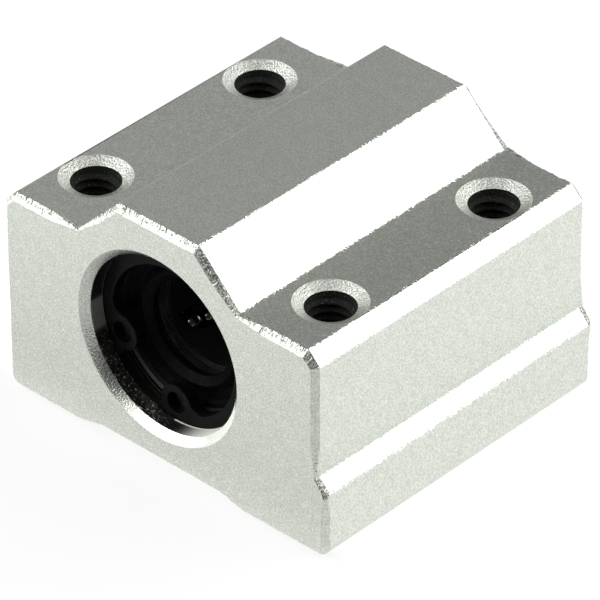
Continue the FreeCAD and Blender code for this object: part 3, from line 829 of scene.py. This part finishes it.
def make_camera():
    """Set the camera at the photograph's angle."""
    azimuth, elevation = math.radians(CAMERA_AZIMUTH), math.radians(CAMERA_ELEVATION)
    roll = math.radians(CAMERA_ROLL)
    back = Vector((math.sin(azimuth) * math.cos(elevation),
                   -math.cos(azimuth) * math.cos(elevation), math.sin(elevation)))
    right = Vector((math.cos(azimuth), math.sin(azimuth), 0))
    up = back.cross(right)
    turned_right = right * math.cos(roll) + up * math.sin(roll)
    turned_up = up * math.cos(roll) - right * math.sin(roll)
    camera = bpy.data.objects.new("camera", bpy.data.cameras.new("camera"))
    camera.matrix_world = Matrix.Translation(CAMERA_TARGET + back * CAMERA_DISTANCE) @ Matrix(
        (turned_right, turned_up, back)).transposed().to_4x4()
    camera.data.lens = CAMERA_LENS
    camera.data.sensor_width = SENSOR_WIDTH
    camera.data.clip_start = CLIP_START
    camera.data.clip_end = CLIP_END
    bpy.context.scene.collection.objects.link(camera)
    bpy.context.scene.camera = camera


def make_world():
    """Light the part from an even pale room that has brighter and darker patches."""
    world = bpy.data.worlds.new("studio")
    bpy.context.scene.world = world
    tree = Tree(world)
    way = tree.add("ShaderNodeTexCoord").outputs["Generated"]
    level = WALL_LEVEL
    for direction, inner, outer, patch in WALL_PATCHES:
        share = tree.ramp(tree.dot(way, direction.normalized()),
                          math.cos(math.radians(outer)), math.cos(math.radians(inner)))
        rest = tree.both(tree.math("SUBTRACT", 1.0, share), level)
        level = tree.math("ADD", rest, tree.both(share, patch))
    room = tree.add("ShaderNodeBackground", {"Color": WHITE, "Strength": level})
    plain = tree.add("ShaderNodeBackground", {"Color": WHITE, "Strength": 1.0})
    seen = tree.add("ShaderNodeLightPath").outputs["Is Camera Ray"]
    mixed = tree.add("ShaderNodeMixShader", {0: seen, 1: room.outputs[0], 2: plain.outputs[0]})
    out = tree.add("ShaderNodeOutputWorld")
    tree.feed(out.inputs["Surface"], mixed.outputs[0])


def mirrored_floor(tree):
    """Give the floor's level as the block mirrors it, from one stretch of it to the next."""
    place = tree.add("ShaderNodeSeparateXYZ", {0: tree.place()})
    across, along = place.outputs[0], place.outputs[1]
    nearer = tree.dot(tree.place(), TOWARDS_CAMERA)
    front = tree.ramp(along, *FRONT_FAR_ALONG, FLOOR_FRONT, FLOOR_FRONT_FAR)
    beside = tree.ramp(along, *SIDE_ALONG)
    level = tree.both(front, tree.math("SUBTRACT", 1.0, beside))
    level = tree.math("MULTIPLY_ADD", beside, FLOOR_SIDE, level)
    level = tree.both(level, tree.ramp(nearer, *NEAR_TOWARDS, 1.0, FLOOR_NEAR))
    level = tree.both(level, tree.ramp(nearer, *NEAREST_TOWARDS, 1.0, FLOOR_NEAREST))
    glow = tree.both(beside, tree.ramp(across, *GLOW_BESIDE_ACROSS, 0.0, GLOW_BESIDE))
    glow = tree.math("ADD", glow, tree.ramp(across, *GLOW_LEFT_ACROSS, 0.0, GLOW_LEFT))
    strip = tree.both(tree.ramp(along, *GLOW_BACK_ALONG), tree.ramp(along, *GLOW_FRONT_ALONG))
    level = tree.math("ADD", level, tree.both(glow, strip))
    back_left = tree.both(tree.ramp(across, *BACK_LEFT_ACROSS), tree.ramp(along, *BACK_LEFT_ALONG))
    return tree.both(level, tree.fade(back_left, FLOOR_BACK_LEFT))


def make_floor():
    """Lay a floor: white with a faint shadow to the camera, and of set levels to the block."""
    bm = bmesh.new()
    bmesh.ops.create_circle(bm, cap_ends=True, cap_tris=False, segments=FLOOR_SEGMENTS,
                            radius=FLOOR_RADIUS)
    mesh = bpy.data.meshes.new("floor")
    bm.to_mesh(mesh)
    bm.free()
    floor = bpy.data.objects.new("floor", mesh)
    bpy.context.scene.collection.objects.link(floor)
    material = bpy.data.materials.new("white_floor")
    tree = Tree(material)
    rays = tree.add("ShaderNodeLightPath").outputs
    level = tree.most(mirrored_floor(tree), rays["Is Camera Ray"])
    mirrored = tree.most(rays["Is Glossy Ray"], rays["Is Transmission Ray"])
    share = tree.both(tree.most(rays["Is Camera Ray"], mirrored), MIRRORED_SHARE)
    paper = tree.add("ShaderNodeBsdfDiffuse", {"Color": PAPER})
    glow = tree.add("ShaderNodeEmission", {"Color": WHITE, "Strength": level})
    mixed = tree.add("ShaderNodeMixShader", {0: share, 1: paper.outputs[0], 2: glow.outputs[0]})
    out = tree.add("ShaderNodeOutputMaterial")
    tree.feed(out.inputs["Surface"], mixed.outputs[0])
    dress(floor, material)


def make_softbox(name, way, power):
    """Hang one square soft lamp that faces the part."""
    lamp = bpy.data.lights.new(name, "AREA")
    lamp.shape = "SQUARE"
    lamp.size = LAMP_SIZE
    lamp.energy = power
    holder = bpy.data.objects.new(name, lamp)
    holder.location = way.normalized() * LAMP_DISTANCE
    holder.rotation_euler = (-way).to_track_quat("-Z", "Y").to_euler()
    bpy.context.scene.collection.objects.link(holder)


def make_part():
    """Dress every node of the part or replace it."""
    aluminium = blasted_aluminium()
    make_housing(aluminium)
    for number, (side, end) in enumerate(((-1, -1), (1, -1), (-1, 1), (1, 1)), 1):
        make_thread("thread_%d" % number, side * HOLE_ACROSS, end * HOLE_ALONG, aluminium)
    ring = black_skin("black_ring_steel", **RING_SKIN)
    rubber = black_skin("seal_rubber_skin", **RUBBER_SKIN)
    for end in ("front", "rear"):
        make_rounded("circlip_" + end, "circlip_%s_rounded" % end, ring, RING_ROUND)
        make_rounded("seal_" + end, "seal_%s_moulded" % end, rubber, SEAL_ROUND)
    dress(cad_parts["bearing_sleeve"], ground_steel("ground_sleeve", SLEEVE_GREY))
    dress(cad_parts["ball_cage"], black_skin("cage_plastic_skin", **PLASTIC_SKIN))
    stamped = ground_steel("stamped_ring", STAMPED_GREY)
    for end in ("front", "rear"):
        dress(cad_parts["end_ring_" + end], stamped)
    bright = bright_balls()
    for node in sorted(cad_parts):
        if "balls" in node:
            make_balls(node, bright)


make_camera()
make_world()
make_floor()
for lamp_name, lamp_way, lamp_power in LAMPS:
    make_softbox(lamp_name, lamp_way, lamp_power)
make_part()
bpy.context.scene.view_settings.view_transform = "Standard"
bpy.context.view_layer.update()
